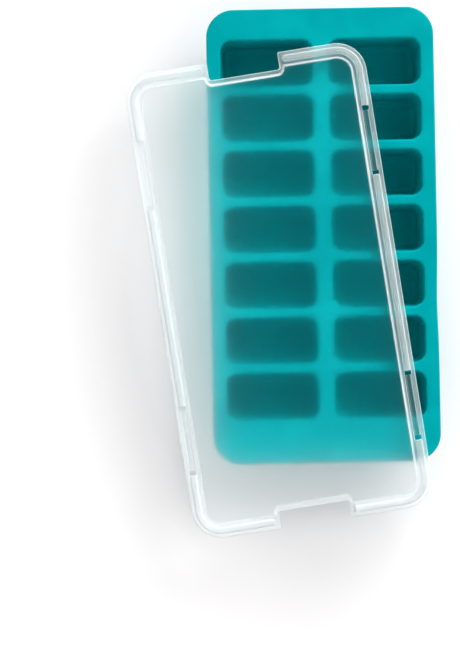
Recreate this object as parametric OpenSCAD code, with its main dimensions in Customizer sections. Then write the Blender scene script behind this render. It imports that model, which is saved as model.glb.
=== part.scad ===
// Ice cube tray of moulded silicone with a press-on lid of translucent polypropylene.
// The tray stands on the flat bottoms of its cells at z = 0, its length runs along Y,
// and the end with the narrower plain margin is at +Y. The lid lies askew on top.

/* [Cells] */
// Number of cells across the tray
cell_cols = 2; // [1:1:4]
// Number of cells along the tray
cell_rows = 7; // [2:1:10]
// Mouth of a cell across the tray, between its walls
mouth_x = 45.4; // [30:0.1:60]
// Mouth of a cell along the tray, between its walls
mouth_y = 22.8; // [18:0.1:40]
// Corner radius of a cell's mouth
mouth_r = 5.5; // [4.5:0.1:8]
// Rib between two columns of cells, mouth to mouth
web_x = 7.8; // [5:0.1:16]
// Rib between two rows of cells, mouth to mouth
web_y = 4.6; // [4.2:0.1:12]
// Rounding of the lip round each mouth
lip_r = 1.3; // [0.6:0.1:1.8]
// Draft of the cell walls in degrees
draft = 4; // [1:0.5:6]
// Rounding between a cell's wall and its floor
floor_r = 3; // [1:0.1:5]
// Thickness of the cell walls
wall_t = 1.6; // [1.2:0.1:2]
// Thickness of the cell floors
floor_t = 1.8; // [1.2:0.1:3]

/* [Tray] */
// Height of the tray from the cell bottoms to the top of its flange
tray_h = 31; // [24:0.5:38]
// Thickness of the flange
flange_t = 2.2; // [1.6:0.1:3]
// Rounding of the flange's edge, above and below
flange_edge_r = 0.9; // [0.3:0.1:1]
// Plain flange beside the cells, from the tray's long edges to the mouths
side_margin = 6.7; // [5:0.1:15]
// Plain flange at the +Y end, from the tray's edge to the first mouths
end_margin = 15.3; // [12:0.1:30]
// Plain flange at the -Y end, where the tray is held
grip_margin = 21.5; // [12:0.1:40]
// Corner radius of the flange
tray_corner_r = 13.5; // [9:0.1:20]

/* [Lid] */
// Side clearance between the lid's skirt and the tray's flange
fit_gap = 0.7; // [0.4:0.1:1.5]
// Thickness of the skirt and of the ridge's walls
skirt_t = 1; // [0.8:0.1:1.3]
// Ledge that stands out beyond the skirt
ledge_w = 1.9; // [1:0.1:4]
// Width of the hollow ridge over the skirt
ridge_w = 3.3; // [2.8:0.1:5]
// Height of the ridge above the ledge
ridge_h = 2; // [1.4:0.1:4]
// Rounding of the ridge's top
ridge_r = 0.9; // [0.3:0.1:1.2]
// Thickness of the ridge's roof
roof_t = 1; // [0.8:0.1:1.2]
// Flat band between the ridge and the panel, also round the notches
band_w = 2.1; // [1.6:0.1:5]
// Thickness of the ledge and the band
plate_t = 1.2; // [0.8:0.1:1.8]
// Height that the panel is raised above the band
panel_lift = 1.2; // [0.9:0.1:2]
// Thickness of the panel
panel_t = 1.2; // [0.8:0.1:1.8]
// Thickness of the step between the band and the panel
step_t = 1; // [0.8:0.1:1.4]
// How much tighter the lid's corners are than the tray's, seen from above
corner_relief = 2.4; // [0:0.1:3]

/* [Finger notches] */
// Length of the notch in the middle of each short end
notch_l = 35; // [20:0.5:50]
// Depth of the notch from the lid's end
notch_d = 8.5; // [7.5:0.1:14]
// Rounding of the notch's inner corners
notch_r = 1.5; // [0.5:0.1:3]

/* [Snap tabs] */
// Distance of a tab's middle from the lid's end
tab_inset = 49.6; // [40:0.1:60]
// Length of the window that a tab stands in
window_l = 34.4; // [20:0.1:40]
// Open slot at each end of a tab
slot_w = 2.2; // [1.2:0.1:4]
// How far a hook reaches in from the skirt
hook_reach = 1.8; // [1.4:0.1:2.2]
// Thickness of a hook
hook_t = 1.2; // [0.8:0.1:2]
// Clearance between a hook and the underside of the flange
hook_gap = 0.2; // [0.1:0.05:0.5]

/* [Place of the lid] */
// Whether the lid lies askew on the tray or is snapped on
lid_place = "askew"; // [askew, seated]
// Turn of the lid that lies askew, seen from above, in degrees
lid_yaw = 8; // [-15:0.5:15]
// Sideways place of the lid's middle when it lies askew
lid_x = -22.5; // [-30:0.1:30]
// Lengthwise place of the lid's middle when it lies askew
lid_y = -26.7; // [-40:0.1:40]
// Clearance under the lid that lies askew
rest_gap = 0.2; // [0.05:0.05:0.5]

/* [Hidden] */
$fn = 64;
// How far a cut runs past the face that it opens
over = 1;
// Flats that make up the rounding at the foot of a cell's wall, and at its lip
foot_steps = 5;
lip_steps = 4;

pitch_x = mouth_x + web_x;
pitch_y = mouth_y + web_y;
tray_w = 2 * side_margin + cell_cols * mouth_x + (cell_cols - 1) * web_x;
tray_l = end_margin + grip_margin + cell_rows * mouth_y + (cell_rows - 1) * web_y;
first_row_y = tray_l / 2 - end_margin - mouth_y / 2;
cell_depth = tray_h - floor_t;
lean = tan(draft);

overhang = fit_gap + skirt_t + ledge_w;
lid_w = tray_w + 2 * overhang;
lid_l = tray_l + 2 * overhang;
lid_corner_r = tray_corner_r + overhang - corner_relief;
rim_w = ledge_w + ridge_w + band_w;
plate_z = hook_t + hook_gap + flange_t;
plate_top = plate_z + plate_t;
ridge_top = plate_top + ridge_h;
panel_z = plate_z + panel_lift;
panel_top = panel_z + panel_t;
// Middle line of the ridge, measured in from the lid's edge
ridge_mid = ledge_w + ridge_w / 2;
// Where the ridge stops short of a notch, measured from the lid's middle line
ridge_end_x = notch_l / 2 + ledge_w + ridge_w / 2;

// A slice of a disc between two angles
module sector(r, from, to) {
    mid = (from + to) / 2;
    reach = 2 * r;
    intersection() {
        circle(r);
        polygon([[0, 0], for (a = [from, mid, to]) reach * [cos(a), sin(a)]]);
    }
}

module rounded_rect(size, r) {
    square([size.x - 2 * r, size.y], center = true);
    square([size.x, size.y - 2 * r], center = true);
    for (x = [-1, 1], y = [-1, 1])
        translate([x * (size.x / 2 - r), y * (size.y / 2 - r)]) circle(r);
}

// Carries a half section round a rounded rectangle. The section's x runs outwards
// from the axis of the corners, and its y is the height.
module around(size, r) {
    half = [size.x / 2 - r, size.y / 2 - r];
    for (quarter = [0:3]) {
        side = quarter % 2 == 0 ? half : [half.y, half.x];
        rotate(90 * quarter) {
            translate([side.x, side.y, 0]) rotate_extrude(angle = 90, start = 0) children();
            translate([side.x, side.y, 0]) rotate([90, 0, 0]) linear_extrude(2 * side.y) children();
        }
    }
}

// The same, with the middle filled from one height to another
module basin(size, r, bottom, top) {
    around(size, r) children();
    translate([0, 0, bottom])
        linear_extrude(top - bottom) square([size.x - 2 * r, size.y - 2 * r], center = true);
}

// Points on an arc round a centre, from one angle to another
function arc(centre, r, from, to, steps) =
    [for (i = [0:steps]) let (a = from + (to - from) * i / steps) centre + r * [cos(a), sin(a)]];

// Rounded foot of a drafted half section that is r wide at height top
function foot_arc(r, bottom, top, foot_r) =
    let (
        base = r - (top - bottom) * lean,
        rounding = min(foot_r, base),
        centre = [base + rounding * lean - rounding / cos(draft), bottom + rounding]
    )
    concat([[0, bottom]], arc(centre, rounding, -90, -draft, foot_steps));

// The room inside one cell, with a rounded lip at its mouth
module cell_room() {
    lip_centre = [mouth_r - lip_r * lean + lip_r / cos(draft), tray_h - lip_r];
    basin([mouth_x, mouth_y], mouth_r, floor_t, tray_h + over)
        polygon(concat(
            foot_arc(mouth_r, floor_t, tray_h, floor_r),
            arc(lip_centre, lip_r, 180 - draft, 90, lip_steps),
            [[lip_centre.x, tray_h + over], [0, tray_h + over]]
        ));
}

// The outside of one cell, up to the middle of the flange
module cell_cup() {
    top = tray_h - flange_t / 2;
    r = mouth_r + wall_t;
    top_r = r - flange_t / 2 * lean;
    basin([mouth_x + 2 * wall_t, mouth_y + 2 * wall_t], r, 0, top)
        polygon(concat(foot_arc(top_r, 0, top, floor_r + wall_t), [[top_r, top], [0, top]]));
}

// Half section of the flange with its rounded edge
module flange_section() {
    inner = tray_corner_r - flange_edge_r;
    square([inner, flange_t]);
    translate([inner, flange_edge_r]) square([flange_edge_r, flange_t - 2 * flange_edge_r]);
    translate([inner, flange_edge_r]) sector(flange_edge_r, -90, 0);
    translate([inner, flange_t - flange_edge_r]) sector(flange_edge_r, 0, 90);
}

module at_cells() {
    for (col = [0:cell_cols - 1], row = [0:cell_rows - 1])
        translate([(col - (cell_cols - 1) / 2) * pitch_x, first_row_y - row * pitch_y, 0]) children();
}

module tray() {
    color("#00b0b5")
    difference() {
        union() {
            translate([0, 0, tray_h - flange_t])
                basin([tray_w, tray_l], tray_corner_r, 0, flange_t) flange_section();
            at_cells() cell_cup();
        }
        at_cells() cell_room();
    }
}

// An outline cut into the middle of one short end, with rounded inner corners
module end_cut(length, depth, r) {
    translate([0, lid_l / 2]) {
        translate([-length / 2 + r, -depth]) square([length - 2 * r, depth + over]);
        translate([-length / 2, -depth + r]) square([length, depth + over - r]);
        for (x = [-1, 1]) translate([x * (length / 2 - r), -depth + r]) circle(r);
    }
}

module both_ends() {
    for (turn = [0, 180]) rotate(turn) children();
}

// Outline of the panel, grown outwards by grow
module panel_outline(grow) {
    inset = rim_w - grow;
    difference() {
        rounded_rect([lid_w - 2 * inset, lid_l - 2 * inset], lid_corner_r - inset);
        both_ends() end_cut(notch_l + 2 * (band_w - grow), notch_d + band_w - grow, notch_r + band_w - grow);
    }
}

// The groove under the ridge, open to below, with round ends beside the notches
module ridge_groove() {
    groove_w = ridge_w - 2 * skirt_t;
    outer = ledge_w + skirt_t;
    inner = outer + groove_w;
    difference() {
        rounded_rect([lid_w - 2 * outer, lid_l - 2 * outer], lid_corner_r - outer);
        rounded_rect([lid_w - 2 * inner, lid_l - 2 * inner], lid_corner_r - inner);
        square([2 * ridge_end_x, lid_l + over], center = true);
    }
    at_ridge_ends() circle(groove_w / 2);
}

module at_ridge_ends() {
    for (x = [-1, 1], y = [-1, 1])
        translate([x * ridge_end_x, y * (lid_l / 2 - ridge_mid)]) children();
}

// Half section of the ridge from its middle line outwards
module ridge_half() {
    half = ridge_w / 2;
    difference() {
        union() {
            translate([0, plate_z]) square([half, ridge_top - ridge_r - plate_z]);
            translate([0, ridge_top - ridge_r]) square([half - ridge_r, ridge_r]);
            translate([half - ridge_r, ridge_top - ridge_r]) sector(ridge_r, 0, 90);
        }
        translate([0, plate_z]) square([half - skirt_t, ridge_top - roof_t - plate_z]);
    }
}

// Section of the ridge with the skirt under its outer wall
module ridge_section() {
    translate([lid_corner_r - ridge_mid, 0]) {
        ridge_half();
        mirror([1, 0]) ridge_half();
    }
    translate([lid_corner_r - ledge_w - skirt_t, 0]) square([skirt_t, plate_z]);
}

// The ridge and skirt all round, stopped short of the notches by rounded ends
module ridge_run() {
    difference() {
        around([lid_w, lid_l], lid_corner_r) ridge_section();
        translate([-ridge_end_x, -lid_l / 2 - over, -over])
            cube([2 * ridge_end_x, lid_l + 2 * over, ridge_top + 2 * over]);
    }
    at_ridge_ends() rotate_extrude() ridge_half();
}

// Half section of the ledge's rounded outer edge
module ledge_edge() {
    r = plate_t / 2;
    translate([lid_corner_r - r, plate_z + r]) sector(r, -90, 90);
}

module at_tabs() {
    for (x = [0, 1], y = [-1, 1])
        translate([0, y * (lid_l / 2 - tab_inset), 0]) mirror([x, 0, 0]) translate([lid_w / 2, 0, 0]) children();
}

// Opening through the ridge and skirt round one tab, measured in from the lid's edge
module tab_window() {
    translate([-ledge_w - ridge_w, -window_l / 2, -over])
        cube([ridge_w, window_l, ridge_top + 2 * over]);
}

// One tab: a piece of skirt hanging from the ledge, with a hook along its foot
module tab() {
    tab_l = window_l - 2 * slot_w;
    translate([-ledge_w - skirt_t, -tab_l / 2, 0]) cube([skirt_t, tab_l, plate_top]);
    translate([-ledge_w - skirt_t - hook_reach, -tab_l / 2, 0]) cube([hook_reach, tab_l, hook_t]);
}

module lid_body() {
    edge_r = plate_t / 2;
    difference() {
        union() {
            translate([0, 0, plate_z]) linear_extrude(plate_t) difference() {
                rounded_rect([lid_w - 2 * edge_r, lid_l - 2 * edge_r], lid_corner_r - edge_r);
                panel_outline(step_t);
                ridge_groove();
            }
            around([lid_w, lid_l], lid_corner_r) ledge_edge();
            ridge_run();
            translate([0, 0, plate_z]) linear_extrude(panel_top - plate_z) difference() {
                panel_outline(step_t);
                panel_outline(0);
            }
            translate([0, 0, panel_z]) linear_extrude(panel_t) panel_outline(0);
        }
        translate([0, 0, -over]) linear_extrude(ridge_top + 2 * over)
            both_ends() end_cut(notch_l, notch_d, notch_r);
        at_tabs() tab_window();
    }
    at_tabs() tab();
}

module lid() {
    color([0.86, 0.92, 0.93, 0.55])
    if (lid_place == "seated")
        translate([0, 0, tray_h - plate_z]) lid_body();
    else
        translate([lid_x, lid_y, tray_h + rest_gap]) rotate(lid_yaw) lid_body();
}

tray();
lid();
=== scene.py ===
import math

import bpy
import numpy as np
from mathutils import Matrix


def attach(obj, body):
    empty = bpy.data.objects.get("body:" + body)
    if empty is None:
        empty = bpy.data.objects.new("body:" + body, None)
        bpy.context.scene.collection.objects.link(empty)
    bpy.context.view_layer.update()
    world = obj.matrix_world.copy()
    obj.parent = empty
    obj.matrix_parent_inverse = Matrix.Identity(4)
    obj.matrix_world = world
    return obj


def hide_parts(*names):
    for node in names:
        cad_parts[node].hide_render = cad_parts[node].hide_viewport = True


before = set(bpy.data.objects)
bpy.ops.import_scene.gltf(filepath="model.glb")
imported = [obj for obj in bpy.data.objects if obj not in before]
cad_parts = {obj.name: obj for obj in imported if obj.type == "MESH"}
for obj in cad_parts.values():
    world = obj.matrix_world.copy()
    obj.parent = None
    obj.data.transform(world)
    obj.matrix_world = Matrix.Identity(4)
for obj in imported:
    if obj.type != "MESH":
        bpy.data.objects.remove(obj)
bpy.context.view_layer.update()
mm = 0.001
print("frame loaded:", ", ".join(sorted(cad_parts)))


def hexToLinear(code):
    # sRGB hex to linear RGBA: divide by 12.92 near black, else ((c + 0.055) / 1.055) ^ 2.4
    rgb = np.array([int(code[i:i + 2], 16) / 255 for i in (1, 3, 5)])
    linear = np.where(rgb <= 0.04045, rgb / 12.92, ((rgb + 0.055) / 1.055) ** 2.4)
    return (*linear.tolist(), 1.0)


def addNode(tree, kind, settings=None, links=None):
    # one node, its fields or sockets set by name or number, and its inputs linked from other sockets
    node = tree.nodes.new(kind)
    for name, value in (settings or {}).items():
        if isinstance(name, str) and hasattr(node, name):
            setattr(node, name, value)
        else:
            node.inputs[name].default_value = value
    for name, source in (links or {}).items():
        tree.links.new(source, node.inputs[name])
    return node


def newMaterial(name):
    material = bpy.data.materials.new(name)
    material.use_nodes = True
    material.node_tree.nodes.clear()
    return material, material.node_tree


def weldGrids(grids, flats=()):
    # each grid is rings x points x 3 in mm; a quad joins two rings and two points in the order ring, next
    # ring, next ring + 1, ring + 1, so rings that run outwards over the top and back under keep their faces
    # outwards. flats are single faces, given by their corners. Points at the same place, to 0.0001 mm, become
    # one, and quads that this pinches become triangles or go. Columns past the third are values of a point
    points, quads, corners, start = [], [], [], 0
    for grid in grids:
        rings, count, width = grid.shape
        index = start + np.arange(rings * count).reshape(rings, count)
        quad = np.stack([index[:-1, :-1], index[1:, :-1], index[1:, 1:], index[:-1, 1:]], -1)
        quads.append(quad.reshape(-1, 4))
        points.append(grid.reshape(-1, width))
        start += rings * count
    for flat in flats:
        corners.append(start + np.arange(len(flat)))
        points.append(flat)
        start += len(flat)
    points, quads = np.concatenate(points), np.concatenate(quads)
    places = np.round(points[:, :3], 4)
    first, back = np.unique(places, axis=0, return_index=True, return_inverse=True)[1:]
    back = back.reshape(-1)
    quads = back[quads]
    repeats = quads == np.roll(quads, -1, axis=1)
    crossed = (quads[:, 0] == quads[:, 2]) | (quads[:, 1] == quads[:, 3])
    whole = quads[~repeats.any(1) & ~crossed]
    pinched = (repeats.sum(1) == 1) & ~crossed
    triangles = quads[pinched][~repeats[pinched]].reshape(-1, 3)
    shapes = [back[c][back[c] != np.roll(back[c], -1)].tolist() for c in corners]
    return points[first], whole.tolist() + triangles.tolist() + shapes


def closeRound(grid, axis):
    # the grid with its first ring or point once more at the end
    return np.concatenate([grid, np.take(grid, [0], axis)], axis)


def meshObject(name, points, faces, material):
    mesh = bpy.data.meshes.new(name)
    mesh.from_pydata((points[:, :3] * mm).tolist(), [], faces)
    mesh.validate()
    mesh.polygons.foreach_set("use_smooth", np.ones(len(mesh.polygons), bool))
    mesh.materials.append(material)
    piece = bpy.data.objects.new(name, mesh)
    bpy.context.scene.collection.objects.link(piece)
    return piece


def smoothStep(low, high, value):
    # 0 below low, 1 above high and 3 t^2 - 2 t^3 between them
    t = np.clip((value - low) / (high - low), 0, 1)
    return t * t * (3 - 2 * t)


siliconeLook = {
    "deep": "#00a3a9", "pale": "#04b3b7",   # the dye's slight cloudiness
    "cloudSize": 22.0,                      # mm
    "cloudSpan": (0.3, 0.7),                # parts of the noise that are all deep and all pale
    "grainSize": 0.55,                      # mm, spark-eroded mould grain, drawn coarse enough to show
    "grainDepth": 0.012, "grainStrength": 0.6,  # mm, and the share of it that shows
    "roughness": (0.36, 0.46),
    "ior": 1.41, "gloss": 0.22, "sheen": "#00ffff",
}


def mouldedSilicone(look):
    # moulded silicone rubber: an even turquoise dye, satin from the mould's fine grain, soft wide highlights
    material, tree = newMaterial("mouldedSilicone")
    place = addNode(tree, "ShaderNodeTexCoord").outputs["Object"]
    cloud = addNode(tree, "ShaderNodeTexNoise",
                    {"Scale": 1 / (look["cloudSize"] * mm), "Detail": 2.0}, {"Vector": place})
    dye = addNode(tree, "ShaderNodeValToRGB", {}, {"Fac": cloud.outputs["Fac"]})
    for stop, at, code in zip(dye.color_ramp.elements, look["cloudSpan"], (look["deep"], look["pale"])):
        stop.position, stop.color = at, hexToLinear(code)
    grain = addNode(tree, "ShaderNodeTexNoise",
                    {"Scale": 1 / (look["grainSize"] * mm), "Detail": 3.0}, {"Vector": place})
    satin = addNode(tree, "ShaderNodeMapRange",
                    {"To Min": look["roughness"][0], "To Max": look["roughness"][1]},
                    {"Value": grain.outputs["Fac"]})
    relief = addNode(tree, "ShaderNodeBump",
                     {"Strength": look["grainStrength"], "Distance": look["grainDepth"] * mm},
                     {"Height": grain.outputs["Fac"]})
    shader = addNode(tree, "ShaderNodeBsdfPrincipled",
                     {"IOR": look["ior"], "Specular IOR Level": look["gloss"],
                      "Specular Tint": hexToLinear(look["sheen"])},
                     {"Base Color": dye.outputs["Color"], "Roughness": satin.outputs["Result"],
                      "Normal": relief.outputs["Normal"]})
    addNode(tree, "ShaderNodeOutputMaterial", {}, {"Surface": shader.outputs["BSDF"]})
    return material


lidLook = {                                 # pairs are for the panel and the rim, where nothing else is said
    "tint": ("#f2f6f6", "#fcfefe"),
    "paintedReflectionTint": ("#00ffff", "#d0ffff"),        # painted reflection: the panel's gloss is tinted turquoise, so its reflections of the white studio look like the tray's own light
    "ior": 1.44,
    "finish": (0.3, 0.76),                  # roughness, the panel's on its inner face
    "etched": (0.58, 0.66),                 # roughness of the panel's outer face, over its mottle
    "mottleSize": 6.0,                      # mm
    "clear": (1.0, 0.92), "wallClear": 0.08,  # share of light let through, and by upright walls
    "wallLevel": (0.3, 0.98),               # upright part of the normal on a wall and on a flat
    "shade": (0.04, 0.5),                   # share of light that one face holds back for the shadow
    "milk": 0.25,                           # scattered share of what leaves by the panel's inner face
}


def mouldedPolypropylene(look):
    # moulded polypropylene: clear but faintly milky. The panel's outer face is etched in the mould and blurs
    # what lies under it; the rim is satin, and its walls, looked along, are thick enough to turn white
    material, tree = newMaterial("mouldedPolypropylene")
    place = addNode(tree, "ShaderNodeTexCoord").outputs["Object"]
    rim = addNode(tree, "ShaderNodeAttribute", {"attribute_name": "rim"}).outputs["Fac"]
    etching = addNode(tree, "ShaderNodeAttribute", {"attribute_name": "etching"}).outputs["Fac"]
    mottle = addNode(tree, "ShaderNodeTexNoise",
                     {"Scale": 1 / (look["mottleSize"] * mm), "Detail": 3.0}, {"Vector": place})
    etched = addNode(tree, "ShaderNodeMapRange", {"To Min": look["etched"][0], "To Max": look["etched"][1]},
                     {"Value": mottle.outputs["Fac"]})
    smooth, clear, shade = (addNode(tree, "ShaderNodeMapRange", {"To Min": onPanel, "To Max": onRim},
                                    {"Value": rim}).outputs["Result"]
                            for onPanel, onRim in (look["finish"], look["clear"], look["shade"]))
    # a mix node's colours go in at its sockets 6 and 7 and come out at 2
    tint, paintedReflectionTint = (addNode(tree, "ShaderNodeMix",
                           {"data_type": "RGBA", 6: hexToLinear(onPanel), 7: hexToLinear(onRim)},
                           {"Factor": rim}).outputs[2]
                   for onPanel, onRim in (look["tint"], look["paintedReflectionTint"]))
    finish = addNode(tree, "ShaderNodeMapRange", {},
                     {"Value": etching, "To Min": smooth, "To Max": etched.outputs["Result"]})
    geometry = addNode(tree, "ShaderNodeNewGeometry")
    facing = addNode(tree, "ShaderNodeSeparateXYZ", {}, {"Vector": geometry.outputs["Normal"]})
    level = addNode(tree, "ShaderNodeMath", {"operation": "ABSOLUTE"}, {0: facing.outputs["Z"]})
    walls = addNode(tree, "ShaderNodeMapRange",
                    {"From Min": look["wallLevel"][0], "From Max": look["wallLevel"][1],
                     "To Min": look["wallClear"]},
                    {"Value": level.outputs[0], "To Max": clear})
    # thin clear plastic throws only a pale shadow
    solid = addNode(tree, "ShaderNodeMapRange", {"To Min": 1.0},
                    {"Value": addNode(tree, "ShaderNodeLightPath").outputs["Is Shadow Ray"], "To Max": shade})
    # the reflection tint paints the panel's reflections turquoise, and the rim's faintly so
    shader = addNode(tree, "ShaderNodeBsdfPrincipled", {"IOR": look["ior"]},
                     {"Base Color": tint, "Specular Tint": paintedReflectionTint, "Roughness": finish.outputs["Result"],
                      "Transmission Weight": walls.outputs["Result"], "Alpha": solid.outputs["Result"]})
    # what has entered the panel leaves by its inner face, straight on or scattered: turned back inside, it
    # would make the panel grey
    elsewhere = addNode(tree, "ShaderNodeMath", {"operation": "MAXIMUM"}, {0: etching, 1: rim})
    leaving = addNode(tree, "ShaderNodeMath", {"operation": "SUBTRACT", "use_clamp": True},
                      {0: geometry.outputs["Backfacing"], 1: elsewhere.outputs[0]})
    straight = addNode(tree, "ShaderNodeBsdfTransparent")
    scattered = addNode(tree, "ShaderNodeBsdfTranslucent", {"Color": (1, 1, 1, 1)})
    onward = addNode(tree, "ShaderNodeMixShader", {0: look["milk"]},
                     {1: straight.outputs["BSDF"], 2: scattered.outputs["BSDF"]})
    surface = addNode(tree, "ShaderNodeMixShader", {},
                      {0: leaving.outputs[0], 1: shader.outputs["BSDF"], 2: onward.outputs["Shader"]})
    addNode(tree, "ShaderNodeOutputMaterial", {}, {"Surface": surface.outputs["Shader"]})
    return material


silicone = mouldedSilicone(siliconeLook)
polypropylene = mouldedPolypropylene(lidLook)
print("materials made")


trayShape = {                                  # mm and degrees
    "columns": 2, "rows": 7, "pitch": (53.2, 27.4), "gridShift": 3.1,
    "mouth": (45.4, 22.8), "mouthRadius": 5.5,
    "size": (112.0, 224.0), "cornerRadius": 13.5,
    "height": 31.0, "flange": 2.2, "edgeRadius": 0.9,
    "lip": 1.3, "draft": 4.0, "wall": 1.6, "floor": 1.8, "floorRadius": 5.0, "underFillet": 0.5,
    "droop": 0.35, "droopFrom": (46.0, 96.0),  # how far the soft edge hangs, and from where across and along
    "droopWave": (0.3, 17.0, 23.0),            # the share of it that comes and goes, and its mm per radian
    "edgeDip": 0.6, "edgeDipAt": -33.0, "edgeDipLength": 17.0, "edgeDipFrom": 49.5,  # the right edge draws in
    "softDepth": 8.0,                          # both fade out over this depth under the flange
    "cornerSteps": 10, "sideSteps": (10, 6),   # mesh steps round a cell: each corner, then along X and Y
    "footSteps": 7, "lipSteps": 8, "filletSteps": 4, "edgeSteps": 6,
    # mesh rings, as shares of the way up a wall, down a cup, out over a floor and out over the border
    "wallRings": (0.02, 0.25, 0.5, 0.75, 0.98), "cupRings": (0.03, 0.3, 0.6, 0.97),
    "floorRings": (0.0, 0.35, 0.7, 0.97), "borderRings": (0.0, 0.4, 0.8, 0.97),
}


def quarterTurn(k):
    # turns row vectors by k right angles
    c, s = round(math.cos(k * np.pi / 2)), round(math.sin(k * np.pi / 2))
    return np.array([[c, s], [-s, c]])


def roundedLoop(cornerSteps, stepsX, stepsY):
    # a rounded rectangle without sizes: each point has a place on the rectangle of corner axes, from -1 to 1,
    # and an outward direction, so a point is place * (half size - radius) + radius * direction
    place, direction = [], []
    quarter = np.linspace(0, np.pi / 2, cornerSteps + 1)
    for k, steps in enumerate((stepsY, stepsX, stepsY, stepsX)):
        turn = quarterTurn(k)
        along = np.linspace(-1, 1, steps + 1)[1:-1]
        side = np.stack([np.ones_like(along), along], -1)
        place += [side @ turn, np.ones((cornerSteps + 1, 2)) @ turn]
        direction += [np.tile([1.0, 0.0], (len(along), 1)) @ turn,
                      np.stack([np.cos(quarter), np.sin(quarter)], -1) @ turn]
    return np.concatenate(place), np.concatenate(direction)


def carryProfile(loop, axes, radius, profile):
    # a profile of (offset, height) carried round a loop: offset moves each point along its direction
    place, direction = loop
    flat = place * axes + (radius + profile[:, None, :1]) * direction
    height = np.broadcast_to(profile[:, None, 1:], flat.shape[:2] + (1,))
    return np.concatenate([flat, height], -1)


def arcPoints(centre, radius, start, end, steps):
    # centre + radius * (cosine, sine) of angles from start to end, in degrees
    angle = np.radians(np.linspace(start, end, steps + 1))
    return np.array(centre) + radius * np.stack([np.cos(angle), np.sin(angle)], -1)


def footArc(offsetTop, bottom, top, radius, mouthRadius, draft, steps):
    # rounding at the foot of a drafted wall, tangent to the floor and to the wall, and no larger than the
    # corner's own radius down there
    lean, cosine = math.tan(math.radians(draft)), math.cos(math.radians(draft))
    base = mouthRadius + offsetTop - (top - bottom) * lean
    radius = min(radius, base)
    centre = (base + radius * lean - radius / cosine - mouthRadius, bottom + radius)
    return arcPoints(centre, radius, -90, -draft, steps)


def between(first, last, shares):
    # first + (last - first) * share, for each share
    return np.array([np.array(first) + (np.array(last) - np.array(first)) * t for t in shares])


def tileEdge(loop, axes, half):
    # the loop's points pushed out to the rectangle that one cell takes of the flange
    place, direction = loop
    axis = place * axes
    room = np.sign(direction) * half - axis
    steep = np.abs(direction[:, 0]) >= np.abs(direction[:, 1])
    slope = np.minimum(np.abs(direction).min(1) / np.abs(direction).max(1), 1)
    x = np.where(steep, np.sign(direction[:, 0]) * half[0], axis[:, 0] + room[:, 0] * slope)
    y = np.where(steep, axis[:, 1] + room[:, 1] * slope, np.sign(direction[:, 1]) * half[1])
    return np.stack([x, y], -1)


def flangeLoop(sides, size, radius):
    # for points along the four sides of the block of cells, the matching places on the tray's outline: each
    # side's share of its length is the share of half an arc, the straight and half an arc
    place, direction = [], []
    for k, values in enumerate(sides):
        turn = quarterTurn(k)
        length = size[1 - k % 2] - 2 * radius
        arc = radius * np.pi / 4
        run = (values - values[0]) / (values[-1] - values[0]) * (length + 2 * arc) - arc
        along = np.clip(run / length, 0, 1) * 2 - 1
        angle = np.minimum(run, 0) / radius + np.maximum(run - length, 0) / radius
        place.append(np.stack([np.ones_like(along), along], -1) @ turn)
        direction.append(np.stack([np.cos(angle), np.sin(angle)], -1) @ turn)
    return np.concatenate(place), np.concatenate(direction)


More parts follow.
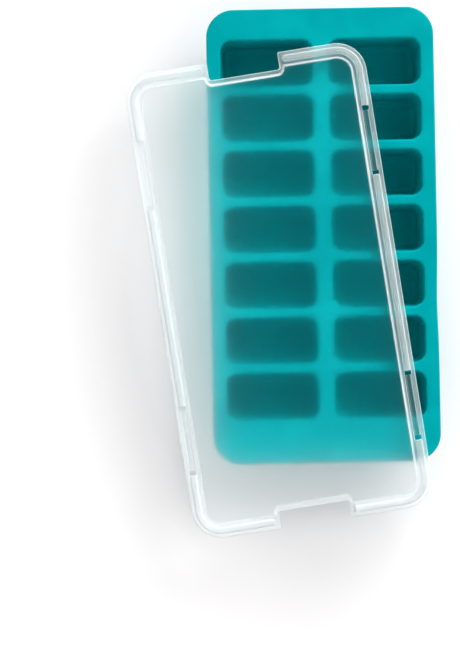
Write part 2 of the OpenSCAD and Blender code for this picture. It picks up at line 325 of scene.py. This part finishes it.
def buildTray(shape, material):
    # cells of one shape, each a room and a cup in its own tile of the flange, and a border round the block of
    # tiles: every part is a profile carried round a rounded rectangle
    lean = math.tan(math.radians(shape["draft"]))
    cosine = math.cos(math.radians(shape["draft"]))
    height, under = shape["height"], shape["height"] - shape["flange"]
    mouthRadius, lip, wall = shape["mouthRadius"], shape["lip"], shape["wall"]
    half = np.array(shape["pitch"]) / 2
    axes = np.array(shape["mouth"]) / 2 - mouthRadius
    loop = roundedLoop(shape["cornerSteps"], *shape["sideSteps"])

    # the room: floor, rounded foot, drafted wall, rounded lip
    foot = footArc(0, shape["floor"], height, shape["floorRadius"], mouthRadius, shape["draft"],
                   shape["footSteps"])
    lipAt = (lip / cosine - lip * lean, height - lip)
    lipArc = arcPoints(lipAt, lip, 180 - shape["draft"], 90, shape["lipSteps"])
    room = np.concatenate([foot, between(foot[-1], lipArc[0], shape["wallRings"]), lipArc])
    inside = carryProfile(loop, axes, mouthRadius, room)

    # the cup: fillet under the flange, drafted wall, rounded foot
    fillet = shape["underFillet"]
    filletAt = (wall - (height - under + fillet) * lean + fillet / cosine, under - fillet)
    bend = arcPoints(filletAt, fillet, 90, 180 - shape["draft"], shape["filletSteps"])
    cupFoot = footArc(wall, 0, height, shape["floorRadius"] + wall, mouthRadius, shape["draft"],
                      shape["footSteps"])[::-1]
    cup = np.concatenate([bend, between(bend[-1], cupFoot[0], shape["cupRings"]), cupFoot])
    outside = carryProfile(loop, axes, mouthRadius, cup)

    tile = tileEdge(loop, axes, half)
    shares = np.array(shape["floorRings"])[:, None, None]
    floorRings = inside[0] * np.array([1, 1, 0]) * shares + inside[0] * np.array([0, 0, 1])
    bottomRings = outside[-1] * np.array([1, 1, 0]) * shares[::-1]
    topTile = np.concatenate([tile, np.full((len(tile), 1), height)], -1)[None]
    underTile = np.concatenate([tile, np.full((len(tile), 1), under)], -1)[None]
    cellTop = np.concatenate([floorRings, inside, topTile])
    cellUnder = np.concatenate([underTile, outside, bottomRings])
    columns = (np.arange(shape["columns"]) - (shape["columns"] - 1) / 2) * shape["pitch"][0]
    rows = (np.arange(shape["rows"]) - (shape["rows"] - 1) / 2) * shape["pitch"][1] + shape["gridShift"]
    grids = []
    for x in columns:
        for y in rows:
            grids += [cellTop + np.array([x, y, 0]), cellUnder + np.array([x, y, 0])]

    # the plain border of the flange, over the rounded edge and back underneath
    sideY = np.unique(np.round(tile[np.isclose(tile[:, 0], half[0]), 1], 6))
    sideX = np.unique(np.round(tile[np.isclose(tile[:, 1], half[1]), 0], 6))
    alongY = np.unique(np.round((rows[:, None] + sideY).reshape(-1), 6))
    alongX = np.unique(np.round((columns[:, None] + sideX).reshape(-1), 6))
    low, high = np.array([alongX[0], alongY[0]]), np.array([alongX[-1], alongY[-1]])
    block = np.concatenate([
        np.stack([np.full_like(alongY, high[0]), alongY], -1),
        np.stack([alongX[::-1], np.full_like(alongX, high[1])], -1),
        np.stack([np.full_like(alongY, low[0]), alongY[::-1]], -1),
        np.stack([alongX, np.full_like(alongX, low[1])], -1)])
    outline = flangeLoop((alongY, -alongX[::-1], -alongY[::-1], alongX),
                         shape["size"], shape["cornerRadius"])
    edge = shape["edgeRadius"]
    rim = np.concatenate([arcPoints((-edge, height - edge), edge, 90, 0, shape["edgeSteps"]),
                          arcPoints((-edge, under + edge), edge, 0, -90, shape["edgeSteps"])])
    halfSize = np.array(shape["size"]) / 2
    edgeRings = carryProfile(outline, halfSize - shape["cornerRadius"], shape["cornerRadius"], rim)
    blockTop = np.concatenate([block, np.full((len(block), 1), height)], -1)
    blockUnder = np.concatenate([block, np.full((len(block), 1), under)], -1)
    shares = np.array(shape["borderRings"])[:, None, None]
    topBorder = blockTop + (edgeRings[0] - blockTop) * shares
    underBorder = edgeRings[-1] + (blockUnder - edgeRings[-1]) * (1 - shares[::-1])
    grids.append(np.concatenate([topBorder, edgeRings, underBorder]))

    points, faces = weldGrids([closeRound(grid, 1) for grid in grids])
    # soft rubber: the flange's edge hangs a little, in a slow wave, and the right edge draws in along one
    # stretch, by a bell curve
    x, y = points[:, 0], points[:, 1]
    outer = np.maximum(smoothStep(shape["droopFrom"][0], halfSize[0], np.abs(x)),
                       smoothStep(shape["droopFrom"][1], halfSize[1], np.abs(y)))
    raised = smoothStep(under - shape["softDepth"], under, points[:, 2])
    swing, waveX, waveY = shape["droopWave"]
    points[:, 2] -= shape["droop"] * outer * raised * (1 - swing + swing * np.sin(x / waveX + y / waveY))
    dip = np.exp(-((y - shape["edgeDipAt"]) / shape["edgeDipLength"]) ** 2)
    points[:, 0] -= shape["edgeDip"] * dip * smoothStep(shape["edgeDipFrom"], halfSize[0], x) * raised
    return meshObject("siliconeTray", points, faces, material)


tray = buildTray(trayShape, silicone)
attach(tray, "tray")
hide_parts("tray")
print("tray made:", len(tray.data.polygons), "faces")


lidShape = {
    "centre": (-22.5, -26.7), "turn": 8.0, "rest": 31.2,  # its place on the tray, mm and degrees
    "size": (119.2, 231.2), "cornerRadius": 14.7,
    "ledge": 1.9, "ridge": 3.3, "wall": 1.0, "ridgeRound": 0.9, "roof": 1.0,
    "plate": (3.6, 4.8), "panel": (4.8, 6.0), "ridgeTop": 6.8,
    "step": 6.3,                         # from the edge in to the middle of the slope up to the panel
    "stepRounds": (1.7, 0.4),            # its hollow foot and its brow
    "stepUnder": (0.2, 1.35),            # foot and head of its underside, in from the middle of the slope
    "panelStart": (0.25, 0.3),           # from the slope to where the panel's finish is full, above and below
    "bevel": 0.5,                        # small roundings of skirt, hook and windows
    "notch": (35.0, 8.5), "notchRound": 1.5, "mouthRound": 0.8,
    "jogRounds": (2.3, 2.5),             # the step's bends round a notch
    "notchBand": 1.9, "notchSqueeze": 0.8,
    "tabInset": 49.6, "window": 34.4, "slot": 2.2, "hook": (2.2, 1.2), "tabWall": 0.6,
    "tabRim": 0.4,                       # how much a tab has of the rim's finish
    "sharpAngle": 40.0,                  # degrees between faces from which their edge is sharp
    # mesh columns: round a corner, along the far end, round a notch's bends and along its side; before and
    # after a window, as shares of the bevel; and past the ridge's end, up to its groove's end and after it
    "cornerSteps": 14, "endSteps": 3, "bendSteps": 6, "sideSteps": 5, "leadShares": (1.0, 0.5, 0.2),
    "endColumns": ((0.25, 0.5), (0.95, 1.2, 1.4, 1.55, 1.62)),
    "arcSteps": {"hollow": 7, "brow": 5, "ridge": 6, "lip": 10, "bevel": 3},
}


def lidColumns(shape):
    # a quarter of the rim's path, from the middle of the right side to the middle of the far end, as columns:
    # a point of the outer edge and its outward normal, a point of the step's line and its normal, how far the
    # column lies past the middle of the ridge's round end, and which forms it has
    halfX, halfY = shape["size"][0] / 2, shape["size"][1] / 2
    radius, step, bevel, half = shape["cornerRadius"], shape["step"], shape["bevel"], shape["ridge"] / 2
    notchHalf, depth = shape["notch"][0] / 2, shape["notch"][1]
    bend, mouth = shape["notchRound"], shape["mouthRound"]
    ridgeEnd = notchHalf + shape["ledge"] + half
    windowAt, windowHalf = halfY - shape["tabInset"], shape["window"] / 2
    ends = windowAt + np.array([-1, -1, 1, 1]) * windowHalf + np.array([0, 1, -1, 0]) * shape["slot"]
    start, lead = [0, ends[0] / 2], bevel * np.array(shape["leadShares"])
    alongY = np.concatenate([start, ends[0] - lead, ends, ends[-1] + lead[::-1], [halfY - radius]])
    window = len(start) + len(lead) + np.arange(len(ends))
    # the ridge's top is rounded down where a window cuts it: a quarter circle over the last stretch
    spent = 1 - np.clip((np.abs(alongY - windowAt) - windowHalf) / bevel, 0, 1)
    fallen = bevel * (1 - np.sqrt(1 - spent ** 2))
    angle = np.linspace(0, np.pi / 2, shape["cornerSteps"] + 1)[1:]
    turn = np.stack([np.cos(angle), np.sin(angle)], -1)
    arc = np.array([halfX, halfY]) - radius + radius * turn
    alongX = np.linspace(halfX - radius, ridgeEnd, shape["endSteps"] + 1)[1:-1]
    # past the ridge's end: a skirt's end and a groove's end each take two columns, the ridge's own end three
    groove = half - shape["wall"]
    before, after = shape["endColumns"]
    past = np.array([0, 0, *before, groove, groove, *after, half, half, half])
    column = np.arange(len(past))
    skirt, trough = column < 1, column < 3 + len(before)
    domed, raised = column < len(past) - 2, column < len(past) - 1
    # then the notch's edge: its mouth's rounding, its side, its inner rounding and its bottom
    quarter = np.linspace(0, np.pi / 2, shape["bendSteps"] + 1)
    mouthTurn = np.stack([-np.sin(quarter), np.cos(quarter)], -1)
    bendTurn = np.stack([np.cos(quarter), -np.sin(quarter)], -1)
    mouthArc = np.array([notchHalf + mouth, halfY - mouth]) + mouth * mouthTurn
    side = np.linspace(halfY - mouth, halfY - depth + bend, shape["sideSteps"] + 1)[1:-1]
    bendArc = np.array([notchHalf - bend, halfY - depth + bend]) + bend * bendTurn
    bottom = np.array([0.5, 0.0]) * (notchHalf - bend)
    edge = np.concatenate([
        np.stack([np.full_like(alongY, halfX), alongY], -1), arc,
        np.stack([alongX, np.full_like(alongX, halfY)], -1),
        np.stack([ridgeEnd - past, np.full_like(past, halfY)], -1),
        mouthArc, np.stack([np.full_like(side, notchHalf), side], -1), bendArc,
        np.stack([bottom, np.full_like(bottom, halfY - depth)], -1)])
    out = np.concatenate([
        np.tile([1.0, 0.0], (len(alongY), 1)), turn, np.tile([0.0, 1.0], (len(alongX) + len(past), 1)),
        mouthTurn, np.tile([-1.0, 0.0], (len(side), 1)), -bendTurn, np.tile([0.0, 1.0], (len(bottom), 1))])
    plain = len(alongY) + len(arc) + len(alongX)
    jog = slice(plain, len(edge) - len(bottom))
    # the step's line round the notch: straight, a bend of the panel's corner and a bend round the notch, each
    # turning by the angle at which the two meet; its points keep pace with the edge's
    outer, inner = shape["jogRounds"]
    fall = depth + shape["notchBand"] - step
    meet = math.acos(1 - fall / (outer + inner))
    innerAt = np.array([notchHalf - bend, halfY - step - fall + inner])
    outerAt = np.array([innerAt[0] + (outer + inner) * math.sin(meet), halfY - step - outer])
    lengths = np.array([ridgeEnd - outerAt[0], outer * meet, inner * meet])
    run = np.concatenate([[0], np.cumsum(np.linalg.norm(np.diff(edge[jog], axis=0), axis=1))])
    reach = run / run[-1] * lengths.sum()
    first = np.clip((reach - lengths[0]) / outer, 0, meet)
    last = meet - np.clip((reach - lengths[0] - lengths[1]) / inner, 0, meet)
    onOuter = outerAt + outer * np.stack([-np.sin(first), np.cos(first)], -1)
    onOuter[:, 0] += np.maximum(lengths[0] - reach, 0)
    onInner = innerAt + inner * np.stack([np.sin(last), -np.cos(last)], -1)
    late = (reach > lengths[0] + lengths[1])[:, None]
    line, lineOut = edge - step * out, out.copy()
    line[jog] = np.where(late, onInner, onOuter)
    lineOut[jog] = np.where(late, np.stack([-np.sin(last), np.cos(last)], -1),
                            np.stack([-np.sin(first), np.cos(first)], -1))
    line[jog.stop:, 1] = halfY - step - fall
    count = len(edge)

    def forms(values, before, after):
        # one value for each column: the given ones past the ridge's end, and one each before and after them
        return np.concatenate([np.full(plain, before), values, np.full(count - plain - len(values), after)])

    return {"edge": edge, "out": out, "line": line, "lineOut": lineOut,
            "past": forms(past, 0.0, half), "tight": forms(np.linspace(0, 1, len(past)), 0.0, 1.0),
            "skirt": forms(skirt, True, False), "trough": forms(trough, True, False),
            "domed": forms(domed, True, False), "raised": forms(raised, True, False),
            "fallen": np.concatenate([fallen, np.zeros(count - len(fallen))]), "window": window}


def buildLid(shape, material):
    # the rim's section carried along the columns. Its parts are lists of (distance in from the edge, height),
    # or for the slope of (distance in from the step's line, height) and for the ridge of (distance out from
    # its middle, height); where a part ends, its points gather on the flat plate
    columns = lidColumns(shape)
    edge, out, line, lineOut = (columns[k] for k in ("edge", "out", "line", "lineOut"))
    past, tight = columns["past"][:, None], columns["tight"]
    skirted, grooved, domed, raised = (columns[k] for k in ("skirt", "trough", "domed", "raised"))
    low, top = shape["plate"]
    under, face = shape["panel"]
    crown, soft, bevel = shape["ridgeTop"], shape["ridgeRound"], shape["bevel"]
    half, mid = shape["ridge"] / 2, shape["ledge"] + shape["ridge"] / 2
    groove, inside, outside = half - shape["wall"], mid + half, mid - half
    foot = shape["step"] - inside - bevel
    squeeze = 1 - (1 - shape["notchSqueeze"]) * tight
    waist = (edge + line + (foot * squeeze)[:, None] * lineOut) / 2
    steps = shape["arcSteps"]

    def ring(flat, height, rim=1.0, etching=0.0):
        # places, and beside them how much a point belongs to the rim and to the etched face
        shared = flat.shape[:2] + (1,)
        return np.concatenate([flat, np.broadcast_to(height, shared), np.broadcast_to(rim, shared),
                               np.broadcast_to(etching, shared)], -1)

    def fromEdge(section, rim=1.0):
        # edge - distance * normal, or the plate's middle where the ridge is over
        section = np.array(section)[:, None]
        flat = np.where(raised[:, None], edge - section[..., :1] * out, waist)
        return ring(flat, section[..., 1:], rim)

    def fromLine(section, rim, etching):
        # line - distance * normal, with what lies outside the line squeezed round a notch
        section = np.array(section)[:, None]
        offset = np.where(section[..., 0] < 0, section[..., 0] * squeeze, section[..., 0])
        return ring(line - offset[..., None] * lineOut, section[..., 1:],
                    np.array(rim)[:, None, None], np.array(etching)[:, None, None])

    def aboutRidge(section, widest, level, present, dome):
        # a round end is the section spun about its middle: a point at distance r lies at the root of
        # r^2 - past^2, and what the spin has passed sits on the middle line, on the dome
        section = np.array(section)[:, None]
        r = section[..., :1]
        flat = edge - (mid - np.sign(r) * np.sqrt(np.maximum(r ** 2 - past ** 2, 0))) * out
        height = np.where(np.abs(r) >= np.minimum(past, widest) - 1e-9, section[..., 1:], dome)
        return ring(np.where(raised[:, None], flat, waist), np.where(present[:, None], height, level))

    def bevelArc(across, height, start, end):
        # one of the small roundings, about a point of the section
        return arcPoints((across, height), bevel, start, end, steps["bevel"])

    big, small = shape["stepRounds"]
    tilt = math.acos(1 - (face - top) / (big + small))
    steep = math.degrees(tilt)
    hollow = arcPoints((-foot, top + big), big, -90, -90 + steep, steps["hollow"])
    browAt = hollow[-1] + small * np.array([math.sin(tilt), -math.cos(tilt)])
    brow = arcPoints(browAt, small, 90 + steep, 90, steps["brow"])
    topStart, underStart = shape["panelStart"]
    section = np.concatenate([hollow, brow[1:], [[brow[-1, 0] + topStart, face]]])[::-1]
    slope = fromLine(section, [0] + [1] * (len(section) - 1), [1] + [0] * (len(section) - 1))
    underFoot, underHead = shape["stepUnder"]
    belowSlope = fromLine([[underFoot, low], [underHead, under], [underHead + underStart, under]],
                          [1, 1, 0], [0, 0, 0])
    rounded = np.clip(past - half + soft, 0, soft)
    ridge = aboutRidge(np.concatenate([
        [[-half, top]], arcPoints((soft - half, crown - soft), soft, 180, 90, steps["ridge"]),
        arcPoints((half - soft, crown - soft), soft, 90, 0, steps["ridge"]), [[half, top]]]),
        half, top, domed, crown - soft + np.sqrt(soft ** 2 - rounded ** 2))
    ridge[..., 2] = np.minimum(ridge[..., 2], crown - columns["fallen"])
    roofUnder = crown - shape["roof"]
    trough = aboutRidge([[groove, low], [groove, roofUnder], [-groove, roofUnder], [-groove, low]],
                        groove, low, grooved, low)
    lipRadius = (top - low) / 2
    lip = arcPoints((lipRadius, low + lipRadius), lipRadius, 90, 270, steps["lip"])[:, None]
    lip = ring(edge - lip[..., :1] * out, lip[..., 1:])
    ledgeTop = fromEdge([[outside - bevel, top]])
    ledgeUnder = fromEdge([[outside - bevel, low], [outside, low]])
    plateUnder = fromEdge([[inside, low], [inside + bevel, low]])
    innerWall = fromEdge(np.concatenate([bevelArc(inside + bevel, top - bevel, 90, 180),
                                         bevelArc(inside + bevel, low + bevel, 180, 270)]))
    ledgeWall = fromEdge(np.concatenate([bevelArc(outside - bevel, low + bevel, 270, 360),
                                         bevelArc(outside - bevel, top - bevel, 0, 90)]))
    skirtIn = outside + shape["wall"]
    footOut = bevelArc(outside + bevel, bevel, 180, 270)
    footIn = bevelArc(skirtIn - bevel, bevel, 270, 360)
    skirtOut = np.where(skirted[:, None], fromEdge(footOut), ledgeUnder[1])
    skirtBack = np.where(skirted[:, None], fromEdge(footIn), trough[0])
    reach, thick = shape["hook"]
    tabIn = outside + shape["tabWall"]
    hookTip = tabIn + reach
    tabFoot = fromEdge(np.concatenate([
        footOut, bevelArc(hookTip - bevel, bevel, 270, 360), bevelArc(hookTip - bevel, thick - bevel, 0, 90),
        [[tabIn, thick]], bevelArc(tabIn - bevel, top - bevel, 0, 90)]), shape["tabRim"])

    whole = np.concatenate([slope, ridge, ledgeTop, lip, ledgeUnder, skirtOut, skirtBack, trough, plateUnder,
                            belowSlope])
    inner = np.concatenate([slope, innerWall, belowSlope])
    ledge = closeRound(np.concatenate([ledgeTop, lip, ledgeUnder[:1], ledgeWall]), 0)
    tab = closeRound(np.concatenate([ledgeTop, lip, ledgeUnder, tabFoot]), 0)
    ridgeCut = np.concatenate([ridge, ledgeTop, ledgeWall[::-1], ledgeUnder, skirtOut, skirtBack, trough,
                               plateUnder, innerWall[::-1]])
    tabCut = np.concatenate([ledgeTop, ledgeWall[::-1], ledgeUnder, tabFoot])
    first, start, end, last = columns["window"]
    grids = [whole[:, :first + 1], whole[:, last:], inner[:, first:last + 1], ledge[:, first:start + 1],
             tab[:, start:end + 1], ledge[:, end:last + 1]]
    flats = [ridgeCut[:, first], ridgeCut[::-1, last], tabCut[::-1, start], tabCut[:, end]]
    # the quarter is mirrored to the other three, and one flat face each closes the panel above and below
    allGrids, allFlats, panelTop, panelUnder = [], [], [], []
    for mirror in ((1, 1), (-1, 1), (-1, -1), (1, -1)):
        way = 1 if mirror[0] == mirror[1] else -1
        sign = np.array([*mirror, 1, 1, 1])
        allGrids += [(grid * sign)[:, ::way] for grid in grids]
        allFlats += [(flat * sign)[::way] for flat in flats]
        panelTop.append((whole[0] * sign)[::way])
        panelUnder.append((whole[-1] * sign)[::way])
    allFlats += [np.concatenate(panelTop), np.concatenate(panelUnder)[::-1]]
    points, faces = weldGrids(allGrids, allFlats)
    c, s = math.cos(math.radians(shape["turn"])), math.sin(math.radians(shape["turn"]))
    points[:, :2] = points[:, :2] @ np.array([[c, s], [-s, c]]) + np.array(shape["centre"])
    points[:, 2] += shape["rest"]
    piece = meshObject("polypropyleneLid", points, faces, material)
    for name, values in (("rim", points[:, 3]), ("etching", points[:, 4])):
        attribute = piece.data.attributes.new(name, "FLOAT", "POINT")
        attribute.data.foreach_set("value", values.astype(np.float32))
    piece.data.set_sharp_from_angle(angle=math.radians(shape["sharpAngle"]))
    return piece


lid = buildLid(lidShape, polypropylene)
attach(lid, "lid")
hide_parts("lid")
print("lid made:", len(lid.data.polygons), "faces")


stageLook = {
    "floorSize": 3.0, "floor": "#f5f1f1",  # m
    # ovals on the floor for painted light, in mm and degrees: round the lid's shadow, and along the tray's
    # left wall
    "shadowOval": {"at": (-37.0, -38.5), "turn": 8.0, "radii": (110.0, 190.0)},
    "wallOval": {"at": (-56.0, 20.0), "turn": 0.0, "radii": (34.0, 230.0)},
    "liftFade": (0.55, 1.0),               # shares of the first oval's radii over which the lift changes
    "paintedFloorLight": (0.03, 0.27),             # painted light: how much white glow lifts the paper, inside and outside it
    "paintedLightSeenThroughLid": (0.14, 0.0),            # the same painted light, as seen through the lid
    "paintedWallLight": "#007676",                # painted turquoise glow, at the middle of the second oval
    "world": "#fbfdff", "worldStrength": 0.7, "ceilingStrength": 0.02,
    "bandTop": (63.0, 85.0),               # degrees up, where the studio's wall of light fades to the ceiling
    "keyAt": (1.4, 2.0, 1.6), "keySize": 2.0, "keyPower": 65.0,  # m and W
}


def ovalShare(tree, oval, falloff):
    # 1 in the middle of an oval on the floor, falling to 0 at its edge
    place = addNode(tree, "ShaderNodeTexCoord").outputs["Object"]
    inOval = addNode(tree, "ShaderNodeMapping",
                     {"vector_type": "TEXTURE", "Location": (oval["at"][0] * mm, oval["at"][1] * mm, 0),
                      "Rotation": (0, 0, math.radians(oval["turn"])),
                      "Scale": (oval["radii"][0] * mm, oval["radii"][1] * mm, 1)}, {"Vector": place})
    return addNode(tree, "ShaderNodeTexGradient", {"gradient_type": falloff},
                   {"Vector": inOval.outputs["Vector"]}).outputs["Fac"]


def paleFloor(look):
    # matt white paper with painted light: a white glow lifts it towards white to the eye and in reflections,
    # but only a little inside an oval round the lid's shadow, so the shade shows there and fades out by the
    # oval's edge; seen through the lid, the painted glow is strongest inside that oval
    material, tree = newMaterial("paperSweep")
    path = addNode(tree, "ShaderNodeLightPath")
    seen = addNode(tree, "ShaderNodeMath", {"operation": "MAXIMUM"},
                   {0: path.outputs["Is Camera Ray"], 1: path.outputs["Is Glossy Ray"]})
    nearness = ovalShare(tree, look["shadowOval"], "SPHERICAL")
    # painted light and shade: near the lid's shadow the glow is small to the eye and large through the lid,
    # and the reverse away from it
    plain, through = (addNode(tree, "ShaderNodeMapRange",
                              {"From Min": 1 - look["liftFade"][1], "From Max": 1 - look["liftFade"][0],
                               "To Min": outside, "To Max": inside}, {"Value": nearness}).outputs["Result"]
                      for inside, outside in (look["paintedFloorLight"], look["paintedLightSeenThroughLid"]))
    seenLift = addNode(tree, "ShaderNodeMath", {"operation": "MULTIPLY"}, {0: seen.outputs[0], 1: plain})
    lift = addNode(tree, "ShaderNodeMath", {"operation": "MULTIPLY_ADD"},
                   {0: path.outputs["Is Transmission Ray"], 1: through, 2: seenLift.outputs[0]})
    glow = addNode(tree, "ShaderNodeEmission", {"Color": (1, 1, 1, 1)}, {"Strength": lift.outputs[0]})
    paper = addNode(tree, "ShaderNodeBsdfDiffuse", {"Color": hexToLinear(look["floor"])})
    lifted = addNode(tree, "ShaderNodeAddShader", {}, {0: paper.outputs["BSDF"], 1: glow.outputs["Emission"]})
    # painted light: a turquoise glow on the paper along the tray's left wall, seen only through the lid,
    # stands in for light that comes through the tray's soft silicone wall
    beside = addNode(tree, "ShaderNodeMath", {"operation": "MULTIPLY"},
                     {0: path.outputs["Is Transmission Ray"],
                      1: ovalShare(tree, look["wallOval"], "QUADRATIC_SPHERE")})
    paintedWallGlow = addNode(tree, "ShaderNodeEmission", {"Color": hexToLinear(look["paintedWallLight"])},
                       {"Strength": beside.outputs[0]})
    lit = addNode(tree, "ShaderNodeAddShader", {},
                  {0: lifted.outputs["Shader"], 1: paintedWallGlow.outputs["Emission"]})
    addNode(tree, "ShaderNodeOutputMaterial", {}, {"Surface": lit.outputs["Shader"]})
    return material


floorCorners = np.array([[-1, -1, 0], [1, -1, 0], [1, 1, 0], [-1, 1, 0]]) * stageLook["floorSize"] / 2 / mm
floor = meshObject("floor", floorCorners, [[0, 1, 2, 3]], paleFloor(stageLook))

# a ring of soft white walls under a dark ceiling; the eye itself sees white all round
world = bpy.data.worlds.new("studio")
bpy.context.scene.world = world
world.use_nodes = True
room = world.node_tree
room.nodes.clear()
gaze = addNode(room, "ShaderNodeSeparateXYZ", {},
               {"Vector": addNode(room, "ShaderNodeTexCoord").outputs["Generated"]})
lowEdge, highEdge = (math.sin(math.radians(a)) for a in stageLook["bandTop"])
glowBand = addNode(room, "ShaderNodeMapRange",
                   {"interpolation_type": "SMOOTHSTEP", "From Min": lowEdge, "From Max": highEdge,
                    "To Min": stageLook["worldStrength"], "To Max": stageLook["ceilingStrength"]},
                   {"Value": gaze.outputs["Z"]})
eye = addNode(room, "ShaderNodeMapRange", {"To Max": 1.0},
              {"Value": addNode(room, "ShaderNodeLightPath").outputs["Is Camera Ray"],
               "To Min": glowBand.outputs["Result"]})
sky = addNode(room, "ShaderNodeBackground", {"Color": hexToLinear(stageLook["world"])},
              {"Strength": eye.outputs["Result"]})
addNode(room, "ShaderNodeOutputWorld", {}, {"Surface": sky.outputs["Background"]})

key = bpy.data.lights.new("softbox", "AREA")
key.shape, key.size, key.energy = "DISK", stageLook["keySize"], stageLook["keyPower"]
keyObject = bpy.data.objects.new("softbox", key)
keyObject.location = stageLook["keyAt"]
keyX, keyY, keyZ = stageLook["keyAt"]
keyObject.rotation_euler = (math.atan2(math.hypot(keyX, keyY), keyZ), 0, math.atan2(keyX, -keyY))
bpy.context.scene.collection.objects.link(keyObject)

cameraPlace = {
    "at": (-46.9, -42.0), "above": 1600.0,  # mm, the point under the lens and the height over the tray's top
    "seen": 317.7,                          # mm of the tray's top in the picture's long side
    "roll": -1.1,                           # degrees
}
camera = bpy.data.cameras.new("camera")
camera.sensor_fit, camera.sensor_width = "AUTO", 36.0
camera.lens = camera.sensor_width * cameraPlace["above"] / cameraPlace["seen"]
cameraObject = bpy.data.objects.new("camera", camera)
cameraObject.location = (cameraPlace["at"][0] * mm, cameraPlace["at"][1] * mm,
                         (trayShape["height"] + cameraPlace["above"]) * mm)
cameraObject.rotation_euler = (0, 0, math.radians(cameraPlace["roll"]))
bpy.context.scene.collection.objects.link(cameraObject)
bpy.context.scene.camera = cameraObject
bpy.context.scene.view_settings.view_transform = "Standard"
print("stage set")
